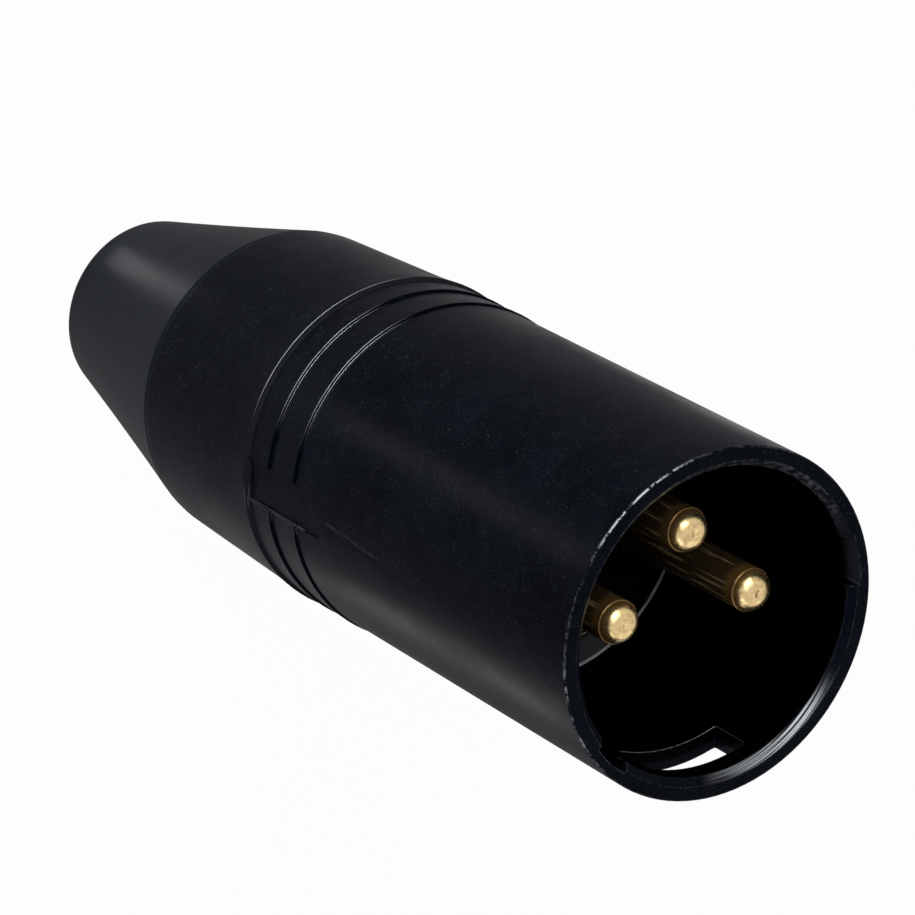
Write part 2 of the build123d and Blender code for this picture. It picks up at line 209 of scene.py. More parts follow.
# Each light card: name, direction and the setting that holds its power.
LIGHT_CARDS = (
    ("latch_strip", math.radians(245), "latch_strip_power"),
    ("left_strip", math.radians(148), "left_strip_power"),
    ("back_strip", math.radians(2), "back_strip_power"),
)
CARD_LIFT = 1 * MM
BAR_SIZE = mm(2, 9)
BAR_RADIUS = 11 * MM
BAR_LIFT = 0.5 * MM
FLOOR_SIDES = 96
CAMERA_RANGE = (0.01, 10.0)


def colour_property(name, description, default):
    """A colour that a user may change."""
    return bpy.props.FloatVectorProperty(
        name=name,
        description=description,
        default=default,
        subtype="COLOR",
        size=3,
        min=0.0,
        max=1.0,
    )


def length_property(name, description, default):
    """A length in metres that a user may change."""
    return bpy.props.FloatProperty(
        name=name,
        description=description,
        default=default,
        subtype="DISTANCE",
        unit="LENGTH",
        precision=6,
    )


def angle_property(name, description, default):
    """An angle, given in degrees and kept in radians, that a user may change."""
    return bpy.props.FloatProperty(
        name=name,
        description=description,
        default=math.radians(default),
        subtype="ANGLE",
        unit="ROTATION",
    )


def share_property(name, description, default):
    """A share from 0 to 1 that a user may change."""
    return bpy.props.FloatProperty(
        name=name,
        description=description,
        default=default,
        min=0.0,
        max=1.0,
        precision=4,
        subtype="FACTOR",
    )


def power_property(name, description, default):
    """A lamp's power in watts that a user may change."""
    return bpy.props.FloatProperty(
        name=name,
        description=description,
        default=default,
        min=0.0,
        max=50.0,
        precision=5,
        subtype="POWER",
        unit="POWER",
    )


class BarrelPaint(bpy.types.PropertyGroup):
    """Satin paint of the barrel and where it is rubbed through."""

    paint: colour_property("Paint", "Colour of the sound paint", (0.001, 0.0022, 0.0054))
    haze: colour_property(
        "Haze", "Lighter cast of the cloudy patches in the paint", (0.0024, 0.004, 0.0082)
    )
    # This metal colour serves both the real rubbed edges and the painted highlights on the lit ring
    # and flat edges.
    bare: colour_property(
        "Rubbed edge", "Colour of the metal where an edge is rubbed", (0.29, 0.305, 0.315)
    )
    speckle: colour_property(
        "Speckle", "Colour of the paint's light speckle", (0.033, 0.038, 0.048)
    )
    speckle_share: share_property("Speckle share", "Strength of the speckle", 0.5)
    dust: colour_property("Dust", "Colour of the scattered dust", (0.17, 0.177, 0.19))
    # Lighter colour painted on the step before ring A, as painted light over its shade.
    step: colour_property(
        "Ring step", "Colour of the step in front of ring A", (0.04, 0.042, 0.047)
    )
    bore: colour_property("Bore", "Colour of the paint inside the mouth", (0.0004, 0.0004, 0.0005))
    gloss: share_property("Shine", "Strength of the paint's reflection", 0.031)
    cast: colour_property("Shine's colour", "Cool cast of the paint's reflection", (0.8, 0.88, 1.0))
    roughness: share_property("Roughness", "Roughness of the paint", 0.3)
    grain: length_property("Grain", "Size of the paint's fine grain", 0.11 * MM)
    edge_width: length_property("Edge width", "Width of the rubbed line beside an edge", 0.1 * MM)
    ring_c_depth: length_property("Ring C", "Depth of the front ring below the mouth", 25.75 * MM)
    # The two ring directions below place painted highlights, laid as bare metal, where the ring
    # edges catch the light.
    ring_highlight_angle: angle_property("Ring wear", "Direction of the wear on the front rings", 131.0)
    ring_a_highlight_angle: angle_property("Rear ring wear", "Direction of the wear on ring A", 121.0)
    # Direction of the painted highlight line, laid as bare metal, on the flat's lower edge.
    flat_highlight_angle: angle_property(
        "Flat wear", "Direction of the worn edge of the trimmed flat", 187.0
    )
    lip_rub_angle: angle_property(
        "Lip wear", "Direction of the most wear on the mouth's edges", 124.0
    )
    chamfer_rub_angle: angle_property(
        "Chamfer wear", "Direction of the bare part of the chamfer", 298.0
    )
    far_rub_angle: angle_property(
        "Far chamfer wear", "Direction of the speckled part of the chamfer", 95.0
    )


class BootPlastic(bpy.types.PropertyGroup):
    """Moulded cap at the rear."""

    plastic: colour_property("Plastic", "Colour of the moulded cap", (0.0024, 0.0042, 0.0077))
    gloss: share_property("Shine", "Strength of the plastic's reflection", 0.064)
    cast: colour_property(
        "Shine's colour", "Cool cast of the plastic's reflection", (0.76, 0.87, 1.0)
    )
    roughness: share_property("Roughness", "Roughness of the plastic", 0.42)
    grain: length_property("Grain", "Size of the mould's fine texture", 0.2 * MM)


class ContactPlate(bpy.types.PropertyGroup):
    """Gold plate of the three contact pins."""

    gold: colour_property("Gold", "Colour of the plate", (0.86, 0.66, 0.34))
    worn: colour_property("Worn gold", "Colour of the duller patches", (0.62, 0.44, 0.2))
    shank: colour_property(
        "Shank", "Colour of the dull plate along the shank", (0.12, 0.078, 0.034)
    )
    foot: colour_property(
        "Foot of the dome", "Colour of the browner plate at the dome's foot", (0.36, 0.2, 0.06)
    )
    roughness: share_property("Roughness", "Roughness of the plate", 0.25)
    turning: length_property(
        "Turning marks", "Pitch of the fine rings left by turning", 0.09 * MM
    )


class InsideFinishes(bpy.types.PropertyGroup):
    """Plastics, metals and insulation inside the adapter."""

    carrier: colour_property("Carrier", "Colour of the contact carrier", (0.0017, 0.0018, 0.002))
    # Light colour of the carrier's painted highlights and lit patch.
    carrier_highlight: colour_property("Carrier edge", "Colour of the carrier's rubbed rim", (0.58, 0.6, 0.62))
    housing: colour_property(
        "Jack body", "Colour of the jack's moulded body", (0.012, 0.012, 0.013)
    )
    nickel: colour_property("Nickel", "Colour of the nickel plate", (0.70, 0.68, 0.64))
    brass: colour_property("Brass", "Colour of the spring strip", (0.74, 0.56, 0.28))
    solder: colour_property("Solder", "Colour of the solder", (0.66, 0.66, 0.67))
    red: colour_property("Tip wire", "Insulation of the tip's wire", (0.55, 0.03, 0.025))
    white: colour_property("Ring wire", "Insulation of the ring's wire", (0.75, 0.74, 0.71))
    black: colour_property("Sleeve wire", "Insulation of the sleeve's wire", (0.03, 0.03, 0.032))
    shrink: colour_property(
        "Shrink sleeve", "Colour of the heat-shrink sleeves", (0.022, 0.022, 0.024)
    )
    liner: colour_property("Liner", "Colour of the insulating tube", (0.72, 0.71, 0.66))


class Studio(bpy.types.PropertyGroup):
    """Camera, floor and lights."""

    aim: bpy.props.FloatVectorProperty(
        name="Aim",
        description="Point that the camera looks at",
        default=mm(-4.011, 4.04, 39.967),
        subtype="TRANSLATION",
        unit="LENGTH",
    )
    distance: length_property("Distance", "From the camera to its aim", 261.522 * MM)
    azimuth: angle_property("Azimuth", "Turn of the camera round the adapter", -124.091)
    elevation: angle_property("Elevation", "Height of the camera above the floor", 51.483)
    roll: angle_property("Roll", "Roll of the camera about its line of sight", 118.587)
    lens: bpy.props.FloatProperty(
        name="Lens",
        description="Focal length in millimetres",
        default=195.71,
        min=10.0,
        max=500.0,
        unit="CAMERA",
    )
    floor_colour: colour_property("Floor", "Colour of the floor", (0.82, 0.82, 0.82))
    floor_radius: length_property("Floor radius", "Radius of the floor", 1.2)
    backdrop_share: share_property("Backdrop", "How far the floor shows as plain white", 0.97)
    mirrored_share: share_property(
        "Mirrored floor", "How far the floor is plain white where it is mirrored", 0.05
    )
    surround: share_property("Surround", "Light of the room on the adapter", 0.06)
    lamp_size: length_property("Lamp size", "Side of each square lamp", 0.25)
    lamp_distance: length_property("Lamp distance", "From each square lamp to the adapter", 0.4)
    mouth_power: power_property("Mouth light", "High lamp behind the mouth", 0.6)
    left_power: power_property("Left light", "Low lamp at the left", 0.46)
    latch_power: power_property("Latch light", "Low lamp at the latch side", 0.22)
    front_power: power_property("Front light", "Low lamp in front", 0.09)
    strip_distance: length_property(
        "Card distance", "From each light card to the adapter's axis", 34 * MM
    )
    strip_width: length_property("Card width", "Width of each light card", 6 * MM)
    strip_height: length_property("Card height", "Height of each light card", 35 * MM)
    latch_strip_power: power_property("Latch card", "Light card at the latch side", 0.0021)
    left_strip_power: power_property("Left card", "Light card at the left", 0.0021)
    back_strip_power: power_property("Back card", "Light card at the back", 0.0006)
    bar_azimuth: angle_property("Bar direction", "Direction of the bar under the rear cap", 124.0)
    bar_power: power_property("Bar", "Light bar under the rear cap", 0.00012)


class Finish:
    """One surface finish: a node tree that grows towards its shader's sockets."""

    def __init__(self, name):
        self.material = bpy.data.materials.new(name)
        self.material.use_nodes = True
        self.tree = self.material.node_tree
        self.tree.nodes.clear()
        self.shader = self.node("BsdfPrincipled")
        self.join(self.shader.outputs["BSDF"], self.node("OutputMaterial").inputs["Surface"])
        self.place = self.node("TexCoord").outputs["Object"]

    def node(self, kind):
        """A new node, by the last part of its type's name."""
        return self.tree.nodes.new("ShaderNode" + kind)

    def join(self, source, target):
        """Puts a number, a vector, a colour or another node's output into a socket."""
        if isinstance(source, bpy.types.NodeSocket):
            self.tree.links.new(source, target)
        elif target.type == "RGBA":
            target.default_value = (*source, 1.0)
        else:
            target.default_value = source

    def maths(self, operation, *values):
        """A Math node's result."""
        node = self.node("Math")
        node.operation = operation
        for value, socket in zip(values, node.inputs):
            self.join(value, socket)
        return node.outputs[0]

    def product(self, result, *values):
        """The values multiplied together."""
        for value in values:
            result = self.maths("MULTIPLY", result, value)
        return result

    def largest(self, result, *values):
        """The largest of the values."""
        for value in values:
            result = self.maths("MAXIMUM", result, value)
        return result

    def vector(self, operation, *values):
        """A Vector Math node's result: a number for a length or a dot product, or a vector."""
        node = self.node("VectorMath")
        node.operation = operation
        for value, socket in zip(values, node.inputs):
            self.join(value, socket)
        return node.outputs["Value" if operation in ("LENGTH", "DOT_PRODUCT") else "Vector"]

    def along(self, axis):
        """How far along X, Y or Z a point lies."""
        split = self.node("SeparateXYZ")
        self.join(self.place, split.inputs[0])
        return split.outputs[axis]

    def radius(self):
        """Distance from the Z axis."""
        return self.vector("LENGTH", self.vector("MULTIPLY", self.place, IN_PLAN))

    def fade(self, value, start, end):
        """0 at start and 1 at end, smooth between them; start may be the larger."""
        node = self.node("MapRange")
        node.interpolation_type = "SMOOTHSTEP"
        self.join(value, node.inputs["Value"])
        node.inputs["From Min"].default_value = min(start, end)
        node.inputs["From Max"].default_value = max(start, end)
        node.inputs["To Min"].default_value = 0.0 if start < end else 1.0
        node.inputs["To Max"].default_value = 1.0 if start < end else 0.0
        return node.outputs["Result"]

    def band(self, value, start, whole, still_whole, end):
        """1 from whole to still_whole, and 0 before start and after end."""
        return self.product(self.fade(value, start, whole), self.fade(value, end, still_whole))

    def clouds(self, point, detail=2.0, roughness=0.5):
        """Noise at a point, with features about one unit across."""
        node = self.node("TexNoise")
        self.join(point, node.inputs["Vector"])
        node.inputs["Scale"].default_value = 1.0
        node.inputs["Detail"].default_value = detail
        node.inputs["Roughness"].default_value = roughness
        return node.outputs["Fac"]

    def noise(self, size, detail=2.0, roughness=0.5, stretch=(1.0, 1.0, 1.0)):
        """Cloudy pattern whose features are about one size, and longer where stretch is small."""
        scale = tuple(share / size for share in stretch)
        return self.clouds(self.vector("MULTIPLY", self.place, scale), detail, roughness)

    def streaked(self, width, length):
        """Noise drawn out round the Z axis, with marks about width across and length long."""
        section = self.node("CombineXYZ")
        self.join(self.radius(), section.inputs["X"])
        self.join(self.along("Z"), section.inputs["Y"])
        across = self.vector("MULTIPLY", section.outputs[0], (1 / width,) * 3)
        drawn_out = self.vector("MULTIPLY", self.place, (1 / length,) * 3)
        return self.clouds(self.vector("ADD", across, drawn_out))

    def specks(self, size):
        """Distance to scattered points about one size apart, as a share of that size."""
        node = self.node("TexVoronoi")
        self.join(self.vector("MULTIPLY", self.place, (1 / size,) * 3), node.inputs["Vector"])
        node.inputs["Scale"].default_value = 1.0
        return node.outputs["Distance"]

    def mix(self, share, low, high):
        """Colour between two colours."""
        node = self.node("Mix")
        node.data_type = "RGBA"
        first, second = (socket for socket in node.inputs if socket.type == "RGBA")
        self.join(share, node.inputs["Factor"])
        self.join(low, first)
        self.join(high, second)
        return next(socket for socket in node.outputs if socket.type == "RGBA")

    def between(self, share, low, high):
        """Number between two numbers or two nodes' values."""
        return self.maths("MULTIPLY_ADD", share, self.maths("SUBTRACT", high, low), low)

    def varied(self, share, middle, spread):
        """Number about a middle one, from the first to the second step of a spread away from it."""
        return self.between(share, middle + spread[0], middle + spread[1])

    def rounded(self, width):
        """Normal of the surface as if its edges were rounded over a width."""
        node = self.node("Bevel")
        node.samples = EDGE_SAMPLES
        node.inputs["Radius"].default_value = width
        return node.outputs[0]

    def edge_share(self, rounded):
        """1 on an edge, where the rounded normal leaves the face's own, and 0 off it."""
        facing = self.node("NewGeometry").outputs["True Normal"]
        return self.fade(self.vector("DOT_PRODUCT", rounded, facing), *EDGE_TURN)

    def side(self, angle, core, reach):
        """1 within core of a direction round the Z axis, and 0 beyond reach of it."""
        ahead = self.vector("DOT_PRODUCT", self.place, (math.cos(angle), math.sin(angle), 0.0))
        cosine = self.maths("DIVIDE", ahead, self.radius())
        return self.fade(cosine, math.cos(reach), math.cos(core))

    def between_normals(self, share, low, high):
        """Normal between two normals."""
        shares = self.node("CombineXYZ")
        for socket in shares.inputs:
            self.join(share, socket)
        step = self.vector("MULTIPLY", self.vector("SUBTRACT", high, low), shares.outputs[0])
        return self.vector("NORMALIZE", self.vector("ADD", low, step))

    def bump(self, height, depth, under=None):
        """Surface relief: height runs from 0 to 1 and depth is its size in metres."""
        node = self.node("Bump")
        node.inputs["Strength"].default_value = 1.0
        node.inputs["Distance"].default_value = depth
        self.join(height, node.inputs["Height"])
        if under is not None:
            self.join(under, node.inputs["Normal"])
        return node.outputs["Normal"]

    def fill(self, **sockets):
        """Fills the shader's sockets; an underscore stands for a space in a socket's name."""
        for name, value in sockets.items():
            self.join(value, self.shader.inputs[name.replace("_", " ")])


def shade(tint, share):
    """A colour, darker or lighter by a share."""
    return tuple(share * part for part in tint)


def give(node_names, finish):
    """Puts a finish on CAD nodes in place of the one that they have."""
    for name in node_names:
        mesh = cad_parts[name].data
        mesh.materials.clear()
        mesh.materials.append(finish.material)


def round_flats(paint, depth, rounded):
    """The rounded normal, turned straight outward over the trimmed flats, which hardly show."""
    at_flats = paint.product(
        paint.band(paint.along("Y"), *FLAT_ACROSS), paint.band(depth, *FLAT_ALONG)
    )
    outward = paint.vector("NORMALIZE", paint.vector("MULTIPLY", paint.place, IN_PLAN))
    return paint.between_normals(at_flats, rounded, outward)


def ring_highlights(paint, look, depth, patches):
    """Painted highlights on the ring edges and on the trimmed flat's lower edge, laid as bare metal
    only on their lit side.
    """
    # Painted highlights: bare metal on the ring edges, over the lit directions only.
    front = paint.product(
        paint.fade(depth, *FRONT_RINGS), paint.side(look.ring_highlight_angle, *FRONT_RING_HIGHLIGHT_SPREAD)
    )
    rear = paint.product(
        paint.fade(depth, *REAR_RING),
        paint.side(look.ring_a_highlight_angle, *REAR_RING_HIGHLIGHT_SPREAD),
        paint.fade(paint.radius(), *REAR_RING_LIP),
    )
    rings = paint.product(paint.largest(front, rear), paint.fade(patches, *PATCHES_ON_RINGS))
    # Painted highlight line along the flat's lower edge.
    flat = paint.product(paint.side(look.flat_highlight_angle, *FLAT_HIGHLIGHT_SPREAD), FLAT_HIGHLIGHT_SHARE)
    return paint.largest(rings, flat)


def lip_share(paint, look):
    """How far the mouth's lip is rubbed by direction: most at one side, less at a second."""
    first = paint.side(look.lip_rub_angle, *LIP_SPREAD)
    second = paint.side(look.lip_rub_angle + SECOND_LIP_TURN, *LIP_SPREAD)
    most = paint.largest(first, paint.product(second, SECOND_LIP_WEAR))
    return paint.between(most, LEAST_LIP_WEAR, 1.0)


def chamfer_rub(paint, look, depth, chips, streaks):
    """Bare metal on the mouth's chamfer: streaked on the near side, speckled on the far side."""
    chamfer = paint.product(
        paint.fade(depth, *CHAMFER_DEPTH), paint.fade(paint.radius(), *CHAMFER_RADIUS)
    )
    near = paint.product(
        paint.side(look.chamfer_rub_angle, *CHAMFER_SPREAD),
        paint.fade(streaks, *STREAKS_ON_CHAMFER),
        CHAMFER_WEAR,
    )
    far = paint.product(
        paint.side(look.far_rub_angle, *FAR_CHAMFER_SPREAD),
        paint.fade(chips, *CHIPS_ON_CHAMFER),
        FAR_CHAMFER_WEAR,
    )
    return paint.product(chamfer, paint.largest(near, far))


def lip_line(paint, depth, streaks, lip_rub, lip_side):
    """Thin broken line of bare metal along the lip's outer corner."""
    corner = paint.product(
        paint.fade(depth, *LIP_CORNER_DEPTH), paint.fade(paint.radius(), *LIP_CORNER_RADIUS)
    )
    broken = paint.fade(paint.maths("ADD", streaks, lip_rub), *STREAKS_ON_LIP)
    return paint.product(corner, broken, lip_side)


def reflection_edge_line(paint, depth, chips):
    """Faint painted highlight line, broken into chips, that drifts from the end of the trimmed flat
    towards the mouth along the edge of the barrel's reflection band.
    """
    past_end = paint.maths("SUBTRACT", EDGE_LINE_END, depth)
    off_line = paint.maths("MULTIPLY_ADD", past_end, EDGE_LINE_DRIFT, paint.along("Y"))
    return paint.product(
        paint.fade(paint.maths("ABSOLUTE", off_line), *EDGE_LINE_WIDTH),
        paint.fade(paint.along("X"), *EDGE_LINE_SIDE),
        paint.band(depth, *EDGE_LINE_ALONG),
        paint.fade(chips, *CHIPS_ON_EDGE_LINE),
        EDGE_LINE_SHARE,
    )


def barrel_wear_and_highlights(paint, look, depth, corners):
    """Where the paint is rubbed to the metal, from 0 to 1, together with painted highlights laid as
    bare metal on the lit ring edges, the flat's lower edge and the reflection band's edge.
    """
    patches = paint.noise(PATCH_SIZE, 3.0, 0.65)
    chips = paint.noise(CHIP_SIZE, 3.0, 0.7)
    streaks = paint.streaked(*STREAK_SIZE)
    lip_side = lip_share(paint, look)
    lip_rub = paint.product(
        paint.fade(chips, *CHIPS_ON_LIP), paint.fade(patches, *PATCHES_ON_LIP), lip_side
    )
    window_rub = paint.product(
        paint.fade(chips, *CHIPS_ON_WINDOW), paint.side(*WINDOW_RUB), WINDOW_WEAR
    )
    at_rings = paint.fade(depth, *(look.ring_c_depth + step for step in BEFORE_RING_C))
    # Real rubbed edges of the window and lip, together with the painted ring and flat highlights.
    rub_and_highlights = paint.between(at_rings, window_rub, ring_highlights(paint, look, depth, patches))
    rub_and_highlights = paint.between(paint.fade(depth, *MOUTH_ZONE), rub_and_highlights, lip_rub)
    return paint.largest(
        paint.product(paint.edge_share(corners), rub_and_highlights),
        chamfer_rub(paint, look, depth, chips, streaks),
        lip_line(paint, depth, streaks, lip_rub, lip_side),
        # Painted highlight line along the edge of the reflection band.
        reflection_edge_line(paint, depth, chips),
    )


def sound_paint(paint, look, depth, cloud, inside):
    """Colour of the sound paint: cloudy, speckled and dusty, lightened on the step before ring A as
    painted light over its shade, and plain black in the bore.
    """
    base = paint.mix(cloud, look.paint, look.haze)
    speckle = paint.product(
        paint.fade(paint.noise(look.grain, detail=1.0), *SPECKLE_LEVELS),
        paint.fade(paint.noise(SPECKLE_PATCH_SIZE, 3.0, 0.6), *SPECKLE_PATCH_LEVELS),
        look.speckle_share,
    )
    base = paint.mix(speckle, base, look.speckle)
    dust = paint.product(
        paint.fade(paint.specks(DUST_GAP), *DUST_LEVELS),
        paint.fade(paint.noise(DUST_PATCH_SIZE), *DUST_PATCH_LEVELS),
        DUST_SHARE,
    )
    base = paint.mix(dust, base, look.dust)
    # Painted light: the step before ring A is lightened over its shade.
    step = paint.product(paint.band(depth, *STEP_FILL_BAND), STEP_FILL_SHARE)
    base = paint.mix(step, base, look.step)
    base = paint.mix(inside, base, look.bore)
    keyway_dust = paint.product(
        paint.band(paint.radius(), *KEYWAY_RADIUS), paint.band(depth, *KEYWAY_DEPTH)
    )
    return paint.mix(keyway_dust, base, look.speckle)


def barrel_paint(look):
    """Satin black paint, finely speckled and cloudy, rubbed to the metal along its edges, with
    painted highlights as bare metal on the lit edges and a painted lit step before ring A.
    """
    paint = Finish("barrel_paint")
    depth = paint.maths("SUBTRACT", MOUTH_HEIGHT, paint.along("Z"))
    corners = paint.rounded(look.edge_width)
    # Real rubbed edges together with painted highlights laid as bare metal.
    wear = barrel_wear_and_highlights(paint, look, depth, corners)
    cloud = paint.fade(paint.noise(CLOUD_SIZE, 3.0, 0.55), *CLOUD_LEVELS)
    inside = paint.product(
        paint.fade(paint.radius(), *BORE_RADIUS), paint.fade(depth, *BORE_DEPTH)
    )
    relief = paint.bump(
        paint.noise(look.grain, 2.0, 0.6), GRAIN_HEIGHT, under=round_flats(paint, depth, corners)
    )
    paint.fill(
        Base_Color=paint.mix(wear, sound_paint(paint, look, depth, cloud, inside), look.bare),
        Metallic=wear,
        Roughness=paint.varied(
            paint.largest(cloud, wear), look.roughness, PAINT_ROUGHNESS_SPREAD
        ),
        Specular_IOR_Level=paint.between(inside, look.gloss, BORE_GLOSS * look.gloss),
        Specular_Tint=look.cast,
        Normal=paint.bump(paint.noise(WAVE_SIZE), WAVE_HEIGHT, under=relief),
    )
    return paint


def boot_plastic(look):
    """Smooth moulded plastic with a faint grain and slight mottling."""
    plastic = Finish("boot_plastic")
    cloud = plastic.noise(BOOT_CLOUD_SIZE)
    lighter = shade(look.plastic, BOOT_CLOUD_SHADE)
    plastic.fill(
        Base_Color=plastic.mix(plastic.fade(cloud, *BOOT_CLOUD_LEVELS), look.plastic, lighter),
        Roughness=plastic.varied(cloud, look.roughness, BOOT_ROUGHNESS_SPREAD),
        Specular_IOR_Level=look.gloss,
        Specular_Tint=look.cast,
        Normal=plastic.bump(plastic.noise(look.grain), GRAIN_HEIGHT),
    )
    return plastic


def carrier_plastic(look):
    """Moulded carrier, with painted highlights on its recess edge and along its rim, and a faint
    painted lit patch on its face beside the rim.
    """
    plastic = Finish("carrier_plastic")
    rounded = plastic.rounded(CARRIER_EDGE_WIDTH)
    patches = plastic.noise(CARRIER_PATCH_SIZE, 3.0, 0.6)
    radius = plastic.radius()
    from_face = plastic.maths("SUBTRACT", plastic.along("Z"), FACE_HEIGHT)
    # Painted highlight on the recess edge.
    recess = plastic.product(
        plastic.fade(radius, *RECESS_EDGE), plastic.side(*RECESS_HIGHLIGHT), plastic.edge_share(rounded)
    )
    # Painted highlight along the rim.
    rim = plastic.product(
        plastic.band(radius, *FACE_RIM),
        plastic.side(*FACE_RIM_HIGHLIGHT),
        plastic.fade(patches, *CARRIER_PATCH_LEVELS),
    )
    # Painted lit patch on the face beside the rim.
    dust = plastic.product(
        plastic.fade(radius, *FACE_LIT_PATCH), plastic.side(*FACE_LIT_SIDE), FACE_LIT_SHARE
    )
    carrier_lit_marks = plastic.product(
        plastic.largest(recess, rim, dust), plastic.fade(from_face, *CARRIER_FACE)
    )
    plastic.fill(
        Base_Color=plastic.mix(carrier_lit_marks, look.carrier, look.carrier_highlight),
        Roughness=plastic.between(patches, *CARRIER_ROUGHNESS),
        Specular_IOR_Level=CARRIER_GLOSS,
        Normal=plastic.bump(plastic.noise(CARRIER_GRAIN_SIZE), GRAIN_HEIGHT, under=rounded),
    )
    return plastic


def contact_gold(look):
    """Plated pin: pale mottled dome with a browner foot, and a darker shank with light streaks
    painted as reflections of the bright mouth.
    """
    gold = Finish("contact_gold")
    mottle = gold.noise(MOTTLE_SIZE, 3.0, 0.6)
    streaks = gold.noise(SHANK_REFLECTION_SIZE, 2.0, 0.6, SHANK_REFLECTION_STRETCH)
    rings = gold.noise(look.turning, 1.0, 0.5, TURNING_STRETCH)
    below = gold.maths("SUBTRACT", PIN_TIP, gold.along("Z"))
    foot = gold.fade(gold.maths("MULTIPLY_ADD", mottle, DOME_MOTTLE, below), *DOME_FOOT)
    dome = gold.mix(gold.fade(mottle, *MOTTLE_LEVELS), look.gold, look.worn)
    dome = gold.mix(foot, dome, look.foot)
    ledge = gold.product(gold.band(below, *DOME_LEDGE), DOME_LEDGE_SHARE)
    dome = gold.mix(ledge, dome, look.shank)
    # Painted reflections: light streaks of gold along the darker shank.
    shank = gold.mix(gold.fade(streaks, *SHANK_REFLECTION_LEVELS), look.shank, look.gold)
    relief = gold.bump(mottle, MOTTLE_HEIGHT, under=gold.rounded(PIN_EDGE_WIDTH))
    gold.fill(
        Base_Color=gold.mix(gold.fade(below, *SHANK_START), dome, shank),
        Metallic=gold.between(foot, 1.0, SHANK_METAL),
        Roughness=gold.varied(mottle, look.roughness, PLATE_ROUGHNESS_SPREAD),
        Normal=gold.bump(rings, TURNING_HEIGHT, under=relief),
    )
    return gold


def plated_metal(name, tint, roughness):
    """Plated or plain sheet metal with fine draw marks and a slight tarnish."""
    metal = Finish(name)
    marks = metal.noise(DRAW_MARK_SIZE, 3.0, 0.6, DRAW_MARK_STRETCH)
    tarnish = metal.fade(metal.noise(TARNISH_SIZE, 3.0, 0.6), *TARNISH_LEVELS)
    metal.fill(
        Base_Color=metal.mix(tarnish, tint, shade(tint, TARNISH_SHADE)),
        Metallic=1.0,
        Roughness=metal.varied(marks, roughness, METAL_ROUGHNESS_SPREAD),
        Normal=metal.bump(marks, DRAW_MARK_HEIGHT),
    )
    return metal


def moulded(name, tint, roughness):
    """Plain moulded plastic or insulation with a faint grain."""
    plastic = Finish(name)
    cloud = plastic.noise(MOULDED_CLOUD_SIZE)
    darker = shade(tint, MOULDED_CLOUD_SHADE)
    plastic.fill(
        Base_Color=plastic.mix(plastic.fade(cloud, *MOULDED_CLOUD_LEVELS), tint, darker),
        Roughness=plastic.varied(cloud, roughness, MOULDED_ROUGHNESS_SPREAD),
        Specular_IOR_Level=MOULDED_GLOSS,
        Normal=plastic.bump(plastic.noise(MOULDED_GRAIN_SIZE), MOULDED_GRAIN_HEIGHT),
    )
    return plastic


class ADAPTER_OT_barrel(bpy.types.Operator):
    """Paint the barrel and rub its edges"""

    bl_idname = "adapter.barrel"
    bl_label = "Barrel paint"

    def execute(self, context):
        give(["barrel"], barrel_paint(context.scene.adapter_barrel))
        return {"FINISHED"}


class ADAPTER_OT_boot(bpy.types.Operator):
    """Finish the moulded rear cap"""

    bl_idname = "adapter.boot"
    bl_label = "Rear cap plastic"

    def execute(self, context):
        give(["rear_boot"], boot_plastic(context.scene.adapter_boot))
        return {"FINISHED"}


class ADAPTER_OT_contacts(bpy.types.Operator):
    """Plate the three pins and finish their carrier"""

    bl_idname = "adapter.contacts"
    bl_label = "Contacts and carrier"

    def execute(self, context):
        give(["pin_1", "pin_2", "pin_3"], contact_gold(context.scene.adapter_contacts))
        give(["pin_insert"], carrier_plastic(context.scene.adapter_inside))
        return {"FINISHED"}


class ADAPTER_OT_jack(bpy.types.Operator):
    """Finish the jack socket: bush, body, cap, ring, leaves and lug"""

    bl_idname = "adapter.jack"
    bl_label = "Jack socket"

    def execute(self, context):
        look = context.scene.adapter_inside
        nickel = plated_metal("nickel_plate", look.nickel, roughness=0.2)
        brass = plated_metal("brass_strip", look.brass, roughness=0.28)
        give(["jack_bush", "sleeve_lug", "shell_ground_spring"], nickel)
        give(["tip_spring", "ring_spring"], brass)
        give(["jack_housing", "jack_back_cap"], moulded("jack_body", look.housing, roughness=0.3))
        give(["jack_retainer"], moulded("retainer_plastic", look.carrier, roughness=0.45))
        return {"FINISHED"}


class ADAPTER_OT_wiring(bpy.types.Operator):
    """Finish the wires, sleeves, liner and solder"""

    bl_idname = "adapter.wiring"
    bl_label = "Wiring"

    def execute(self, context):
        look = context.scene.adapter_inside
        shrink = moulded("shrink_sleeve", look.shrink, roughness=0.5)
        solder = plated_metal("bright_solder", look.solder, roughness=0.22)
        give(["wire_tip"], moulded("red_insulation", look.red, roughness=0.4))
        give(["wire_ring"], moulded("white_insulation", look.white, roughness=0.4))
        give(["wire_sleeve"], moulded("black_insulation", look.black, roughness=0.4))
        give(["cup_sleeve_1", "cup_sleeve_2", "cup_sleeve_3"], shrink)
        give(["insulating_sleeve"], moulded("liner_plastic", look.liner, roughness=0.35))
        give(["cup_solder", "tag_solder"], solder)
        return {"FINISHED"}


def camera_matrix(studio):
    """Where the camera stands, from its aim, distance, two angles and roll."""
    flat = math.cos(studio.elevation)
    back = Vector((
        math.sin(studio.azimuth) * flat,
        -math.cos(studio.azimuth) * flat,
        math.sin(studio.elevation),
    ))
    turn = (-back).to_track_quat("-Z", "Y").to_matrix().to_4x4()
    place = Vector(studio.aim) + back * studio.distance
    return Matrix.Translation(place) @ turn @ Matrix.Rotation(studio.roll, 4, "Z")


